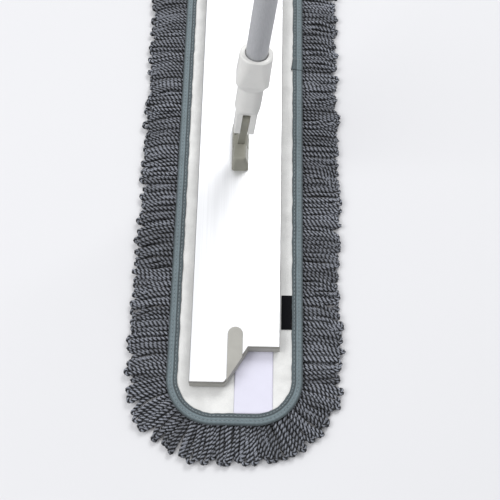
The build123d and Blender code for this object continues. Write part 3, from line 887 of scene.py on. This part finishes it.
class MOP_OT_tape(Operator):
    """Make the edge tape, its lapped end and its two rows of stitches"""
    bl_idname = "mop.tape"
    bl_label = "Edge tape"

    def execute(self, context):
        settings = context.scene.mop_cloth
        around = pad_edge_length()
        count = int(around / (1.3 * MM))
        distance = np.arange(count) * around / count
        surface, section = tape_surface(distance)
        columns = len(section)
        faces = grid_faces(count, columns, False)
        last = (count - 1) * columns
        faces += [[last + i, last + i + 1, i + 1, i] for i in range(columns - 1)]
        tape = new_piece("edge_tape", surface.reshape(-1, 3), faces)
        self.mark(tape, section, distance)
        lap_start = 1.438 * STRAIGHT_HALF
        lap_length = 13 * MM
        lap_distance = np.linspace(lap_start, lap_start + lap_length, 14)
        lap_surface, section = tape_surface(lap_distance, 0.45 * MM)
        flared = 6
        inner = lap_surface[:, -flared:, :2]
        flare = np.linspace(1.0, 0.0, len(lap_distance))[:, None] * 1.6 * MM
        inner[:, :, 0] -= flare * np.linspace(0.0, 1.0, flared)[None, :]
        lap = new_piece("tape_lap", lap_surface.reshape(-1, 3), grid_faces(len(lap_distance), columns, False))
        self.mark(lap, section, lap_distance)
        thicken(lap, 0.4 * MM)
        put_on(tape_finish(settings), tape, lap)
        stitches = self.stitches(settings, around)
        put_on(thread_finish(settings), stitches)
        for piece in (tape, lap, stitches):
            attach(piece, "pad")
            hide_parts("binding_tape")
        return {"FINISHED"}

    def mark(self, piece, section, distance):
        """Keep, for each point, the painted shade across the tape and where it lies along the tape, for its
        weave.
        """
        width = bpy.context.scene.mop_cloth.tape_width
        across = section[:, 0] / width
        # Painted shade across the tape: darker towards its rounded outer rim, in dark lines along the fold
        # and the outer seam, on the part inside the fold and at the inner edge.
        painted_tape_shade = np.where(across > FOLD_SHARE, 0.35, 0.85)
        painted_tape_shade -= 0.75 * np.exp(-((across - FOLD_SHARE) / 0.045) ** 2)
        painted_tape_shade -= 0.40 * np.exp(-((across - SEAM_SHARES[0]) / 0.05) ** 2) + 0.55 * (across > 0.96)
        painted_tape_shade *= 0.25 + 0.75 * smoothstep(across / 0.32)
        rib = 0.5 + 0.5 * swell(distance, 1.9 * MM)
        keep_values(piece, "painted_tape_shade", np.tile(np.clip(painted_tape_shade, 0, 1), len(distance)))
        keep_values(piece, "rib", np.repeat(rib, len(section)))

    def stitches(self, settings, around):
        """Two rows of short threads, each a little arch that dips into the tape at both ends."""
        _, seams = tape_section()
        pitch = settings.stitch + settings.stitch_gap
        count = int(around / pitch)
        rings, sides = 5, 5
        radius = 0.28 * MM
        spots = (np.arange(count) * around / count)[:, None] + np.linspace(0, settings.stitch, rings)[None, :]
        arch = np.sin(np.linspace(0, pi, rings))
        vertices = []
        faces = []
        start = 0
        for seam in seams:
            middle, outward = pad_edge(spots.reshape(-1), seam)
            height = TAPE_HIGH.z - 0.42 * MM - tape_crown(seam) + 0.34 * MM * np.tile(arch, count)
            girth = radius * (0.35 + 0.65 * np.tile(arch, count))
            for k in range(sides):
                angle = 2 * pi * k / sides
                xy = middle + outward * (girth * cos(angle))[:, None]
                vertices.append(np.column_stack([xy, height + girth * sin(angle)]))
            block = np.stack(vertices[-sides:], axis=1).reshape(-1, 3)
            del vertices[-sides:]
            vertices.append(block)
            for i in range(count):
                faces += grid_faces(rings, sides, True, start + i * rings * sides)
            start += count * rings * sides
        return new_piece("tape_stitches", np.concatenate(vertices), faces)


def soft_card(name, node_name, cells, corner, rise):
    """A thin piece of cloth with rounded corners and a faint curl, in a CAD node's place."""
    low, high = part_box(node_name)
    size = high - low
    nx, ny = cells
    u, v = np.meshgrid(np.linspace(0, 1, nx), np.linspace(0, 1, ny))
    x = low.x + u * size.x
    y = low.y + v * size.y
    edge = np.minimum(np.minimum(u, 1 - u) * size.x, np.minimum(v, 1 - v) * size.y)
    z = high.z - 0.25 * MM * np.exp(-edge / (0.5 * MM)) + rise * np.sin(v * pi * 3) * np.sin(u * pi)
    points = np.column_stack([x.ravel(), y.ravel(), z.ravel()])
    for cx, cy in ((low.x, low.y), (high.x, low.y), (low.x, high.y), (high.x, high.y)):
        inward = Vector((1 if cx == low.x else -1, 1 if cy == low.y else -1))
        centre = np.array((cx + inward.x * corner, cy + inward.y * corner))
        away = (points[:, :2] - centre) * -np.array(inward)
        beyond = (away > 0).all(axis=1)
        offset = points[beyond, :2] - centre
        distance = np.linalg.norm(offset, axis=1)
        reach = np.maximum(np.abs(offset).max(axis=1), 1e-9)
        points[beyond, :2] = centre + offset / distance[:, None] * reach[:, None]
    piece = new_piece(name, points, grid_faces(ny, nx, False))
    thicken(piece, 0.45 * MM)
    return piece


class MOP_OT_label_and_patches(Operator):
    """Make the blank woven label and the smooth patch under each cut-out"""
    bl_idname = "mop.label_and_patches"
    bl_label = "Label and patches"

    def execute(self, context):
        settings = context.scene.mop_cloth
        label = soft_card("woven_label", "side_label", (13, 40), 0.4 * MM, 0.12 * MM)
        put_on(label_finish(settings), label)
        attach(label, "pad")
        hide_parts("side_label")
        material = patch_finish(settings)
        for end in ("front", "rear"):
            node_name = "end_patch_" + end
            patch = soft_card("smooth_patch_" + end, node_name, (30, 60), 1.0 * MM, 0.08 * MM)
            trim_to_tape(patch)
            put_on(material, patch)
            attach(patch, "pad")
            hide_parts(node_name)
        return {"FINISHED"}


def trim_to_tape(piece):
    """Draw points that would pass through the tape back to its inner edge."""
    inset = bpy.context.scene.mop_cloth.tape_width
    half_width = PAD_HALF_WIDTH - inset
    half_length = PAD_HALF_LENGTH - inset
    corner = CORNER_RADIUS - inset
    for vertex in piece.data.vertices:
        x, y = vertex.co.x, vertex.co.y
        cx = max(-half_width + corner, min(half_width - corner, x))
        cy = max(-half_length + corner, min(half_length - corner, y))
        offset = Vector((x - cx, y - cy))
        if offset.length > corner:
            offset = offset.normalized() * corner
            vertex.co.x, vertex.co.y = cx + offset.x, cy + offset.y


# ---- operators: the frame and the joint ----------------------------------------------------------

class MOP_OT_frame_plate(Operator):
    """Finish the drawn aluminium plate and the hook tape under it"""
    bl_idname = "mop.frame_plate"
    bl_label = "Frame plate"

    def execute(self, context):
        put_on(plate_finish(context.scene.mop_hard), node("frame_plate"))
        put_on(hook_tape_finish(), node("hook_strip_left"), node("hook_strip_right"))
        return {"FINISHED"}


class MOP_OT_end_caps(Operator):
    """Finish the moulded caps at both ends of the plate"""
    bl_idname = "mop.end_caps"
    bl_label = "End caps"

    def execute(self, context):
        colour_of_cap = context.scene.mop_hard.end_cap
        # The caps' painted shadow line lies just above the plate's top, where the plate meets the cap.
        material = moulded_finish("cap_grey_moulding", colour_of_cap, 0.5, rim=PLATE_HIGH.z + 0.3 * MM)
        put_on(material, node("end_cap_front"), node("end_cap_rear"))
        return {"FINISHED"}


class MOP_OT_swivel(Operator):
    """Finish the swivel joint's base, link, bush and washers"""
    bl_idname = "mop.swivel"
    bl_label = "Swivel joint"

    def execute(self, context):
        settings = context.scene.mop_hard
        material = moulded_finish("joint_olive_moulding", settings.joint, 0.5, 1400.0, 0.10, 0.00009)
        put_on(material, node("joint_base"), node("joint_link"))
        nylon = moulded_finish("bush_nylon", (0.62, 0.61, 0.58), 0.4)
        put_on(nylon, node("tongue_bush"), node("friction_washers"))
        return {"FINISHED"}


class MOP_OT_fixings(Operator):
    """Finish the steel pins and screws"""
    bl_idname = "mop.fixings"
    bl_label = "Pins and screws"

    def execute(self, context):
        material = steel_finish(context.scene.mop_hard)
        names = ("roll_pin", "pitch_pin", "pitch_pin_cap", "cap_screws", "base_screws", "socket_screw")
        put_on(material, *[node(name) for name in names])
        return {"FINISHED"}


# ---- operators: the handle -----------------------------------------------------------------------

class MOP_OT_socket(Operator):
    """Finish the white fork socket"""
    bl_idname = "mop.socket"
    bl_label = "Fork socket"

    def execute(self, context):
        white = context.scene.mop_hard.socket
        material = moulded_finish("socket_white_moulding", white, 0.42, 1500.0, 0.04)
        put_on(material, node("fork_socket"))
        return {"FINISHED"}


class MOP_OT_pole(Operator):
    """Finish the pole"""
    bl_idname = "mop.pole"
    bl_label = "Pole"

    def execute(self, context):
        put_on(pole_finish(context.scene.mop_hard), node("pole"))
        return {"FINISHED"}


def handle_line():
    """The middle of the grip and the handle's direction, from pieces that sit evenly about its axis."""
    low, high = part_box("friction_washers")
    foot = (low + high) / 2
    low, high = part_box("grip")
    middle = (low + high) / 2
    return middle, (middle - foot).normalized()


def ribbed_sleeve(settings):
    """The grip's profile turned about the handle: plain ends, a waist and soft ribs between them."""
    half = settings.grip_length / 2
    end_radius = settings.grip_diameter / 2
    bore = settings.grip_bore / 2
    plain = 16 * MM
    along = np.linspace(-half, half, 300)
    radius = end_radius - 1.0 * MM * (1.0 - np.abs(along) / half)
    rib = 0.5 + 0.5 * np.cos(2 * pi * along / settings.rib_pitch)
    inside = smoothstep((half - plain - np.abs(along)) / (2 * MM))
    radius -= 0.75 * MM * inside * (1.0 - rib ** 0.7)
    from_end = half - np.abs(along)
    round_over = 2 * MM
    cut = np.clip(1.0 - from_end / round_over, 0.0, 1.0)
    radius -= round_over * (1.0 - np.sqrt(1.0 - cut ** 2))
    profile = np.column_stack([
        np.concatenate([[-half], along, [half, half, -half]]),
        np.concatenate([[bore], radius, [bore, bore, bore]]),
    ])
    middle, axis = handle_line()
    side = axis.cross(Vector((0.0, 1.0, 0.0))).normalized()
    other = axis.cross(side)
    sides = 40
    angle = np.arange(sides) * 2 * pi / sides
    spin = np.cos(angle)[:, None] * np.array(side) + np.sin(angle)[:, None] * np.array(other)
    points = (
        np.array(middle) + profile[:, None, :1] * np.array(axis) + profile[:, None, 1:] * spin[None, :, :]
    )
    return new_piece("ribbed_grip", points.reshape(-1, 3), grid_faces(len(profile), sides, True))


class MOP_OT_grip(Operator):
    """Make the ribbed grip and finish the hanging cap"""
    bl_idname = "mop.grip"
    bl_label = "Grip and hanging cap"

    def execute(self, context):
        settings = context.scene.mop_hard
        grip = ribbed_sleeve(settings)
        put_on(rubber_finish(settings), grip)
        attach(grip, "handle")
        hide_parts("grip")
        cap = moulded_finish("hang_cap_moulding", settings.socket, 0.42, 1500.0, 0.04)
        put_on(cap, node("hang_cap"))
        return {"FINISHED"}


# ---- operator: the stage -------------------------------------------------------------------------

class MOP_OT_stage(Operator):
    """Set the floor, the soft light and the camera"""
    bl_idname = "mop.stage"
    bl_label = "Studio"

    def execute(self, context):
        settings = context.scene.mop_studio
        self.floor(settings)
        self.light("key_from_behind", (0.85, 1.3, 1.9), target=(0.0, 0.0, 0.0), size=1.1, power=25.0)
        self.light("fill_from_left", (-1.3, -0.5, 1.8), target=(0.0, -0.05, 0.0), size=1.5, power=21.0)
        self.sky(context.scene)
        context.scene.view_settings.view_transform = "Standard"
        data = bpy.data.cameras.new("camera")
        data.lens = settings.lens
        data.sensor_width = 36.0
        data.clip_start = 0.01
        camera = bpy.data.objects.new("camera", data)
        camera.location = settings.camera_place
        camera.rotation_euler = (settings.tilt, 0.0, settings.heading)
        context.scene.collection.objects.link(camera)
        context.scene.camera = camera
        return {"FINISHED"}

    def sky(self, scene):
        """White overhead and darker near the floor, as in a studio with dark walls."""
        world = bpy.data.worlds.new("studio_white")
        world.use_nodes = True
        tree = world.node_tree
        background = tree.nodes["Background"]
        place = tree.nodes.new("ShaderNodeTexCoord")
        split = tree.nodes.new("ShaderNodeSeparateXYZ")
        spread = tree.nodes.new("ShaderNodeMapRange")
        spread.interpolation_type = "SMOOTHSTEP"
        spread.inputs["From Min"].default_value = 0.05
        spread.inputs["From Max"].default_value = 0.75
        spread.inputs["To Min"].default_value = 0.16
        spread.inputs["To Max"].default_value = 0.83
        tree.links.new(place.outputs["Generated"], split.inputs["Vector"])
        tree.links.new(split.outputs["Z"], spread.inputs["Value"])
        seen = tree.nodes.new("ShaderNodeMix")
        ray = tree.nodes.new("ShaderNodeLightPath")
        seen.inputs["B"].default_value = 0.85
        tree.links.new(ray.outputs["Is Camera Ray"], seen.inputs["Factor"])
        tree.links.new(spread.outputs["Result"], seen.inputs["A"])
        tree.links.new(seen.outputs["Result"], background.inputs["Strength"])
        background.inputs["Color"].default_value = (0.97, 0.98, 1.0, 1.0)
        scene.world = world

    def floor(self, settings):
        half = 6.0
        points = [(-half, -half, 0), (half, -half, 0), (half, half, 0), (-half, half, 0)]
        floor = new_piece("studio_floor", points, [(0, 1, 2, 3)], smooth=False)
        finish = Finish("floor_pale", Roughness=0.7)
        drift = finish.noise(1.2, 3.0, 0.5)
        finish.colour(finish.shaded(drift, settings.floor, 0.99, 1.01))
        put_on(finish.material, floor)

    def light(self, name, place, target, size, power):
        data = bpy.data.lights.new(name, "AREA")
        data.shape = "DISK"
        data.size = size
        data.energy = power
        lamp = bpy.data.objects.new(name, data)
        lamp.location = place
        aim = Vector(target) - Vector(place)
        lamp.rotation_euler = aim.to_track_quat("-Z", "Y").to_euler()
        bpy.context.scene.collection.objects.link(lamp)


# ---- panel and registration ----------------------------------------------------------------------

BUILD_ORDER = (
    MOP_OT_stage, MOP_OT_fringe, MOP_OT_pile, MOP_OT_tape, MOP_OT_label_and_patches, MOP_OT_cloth,
    MOP_OT_frame_plate, MOP_OT_end_caps, MOP_OT_swivel, MOP_OT_fixings, MOP_OT_socket, MOP_OT_pole,
    MOP_OT_grip,
)


class MOP_PT_panel(Panel):
    """The mop's pieces in the order they are made"""
    bl_idname = "MOP_PT_panel"
    bl_label = "Flat dust mop"
    bl_space_type = "VIEW_3D"
    bl_region_type = "UI"
    bl_category = "Dust mop"

    def draw(self, context):
        for operator in BUILD_ORDER:
            self.layout.operator(operator.bl_idname)
        for name in ("mop_yarn", "mop_cloth", "mop_hard", "mop_studio"):
            box = self.layout.box()
            group = getattr(context.scene, name)
            for prop in group.bl_rna.properties:
                if prop.identifier not in ("rna_type", "name"):
                    box.prop(group, prop.identifier)


SETTINGS = {
    "mop_yarn": YarnSettings,
    "mop_cloth": ClothSettings,
    "mop_hard": HardPartSettings,
    "mop_studio": StudioSettings,
}


def register():
    for group in SETTINGS.values():
        bpy.utils.register_class(group)
    for name, group in SETTINGS.items():
        setattr(bpy.types.Scene, name, PointerProperty(type=group))
    for operator in BUILD_ORDER:
        bpy.utils.register_class(operator)
    bpy.utils.register_class(MOP_PT_panel)


def unregister():
    bpy.utils.unregister_class(MOP_PT_panel)
    for operator in reversed(BUILD_ORDER):
        bpy.utils.unregister_class(operator)
    for name in SETTINGS:
        delattr(bpy.types.Scene, name)
    for group in reversed(list(SETTINGS.values())):
        bpy.utils.unregister_class(group)


def main():
    register()
    bpy.ops.mop.stage()
    bpy.ops.mop.fringe()
    bpy.ops.mop.pile()
    bpy.ops.mop.tape()
    bpy.ops.mop.label_and_patches()
    bpy.ops.mop.cloth()
    bpy.ops.mop.frame_plate()
    bpy.ops.mop.end_caps()
    bpy.ops.mop.swivel()
    bpy.ops.mop.fixings()
    bpy.ops.mop.socket()
    bpy.ops.mop.pole()
    bpy.ops.mop.grip()
    bpy.context.view_layer.update()


if __name__ == "__main__":
    main()
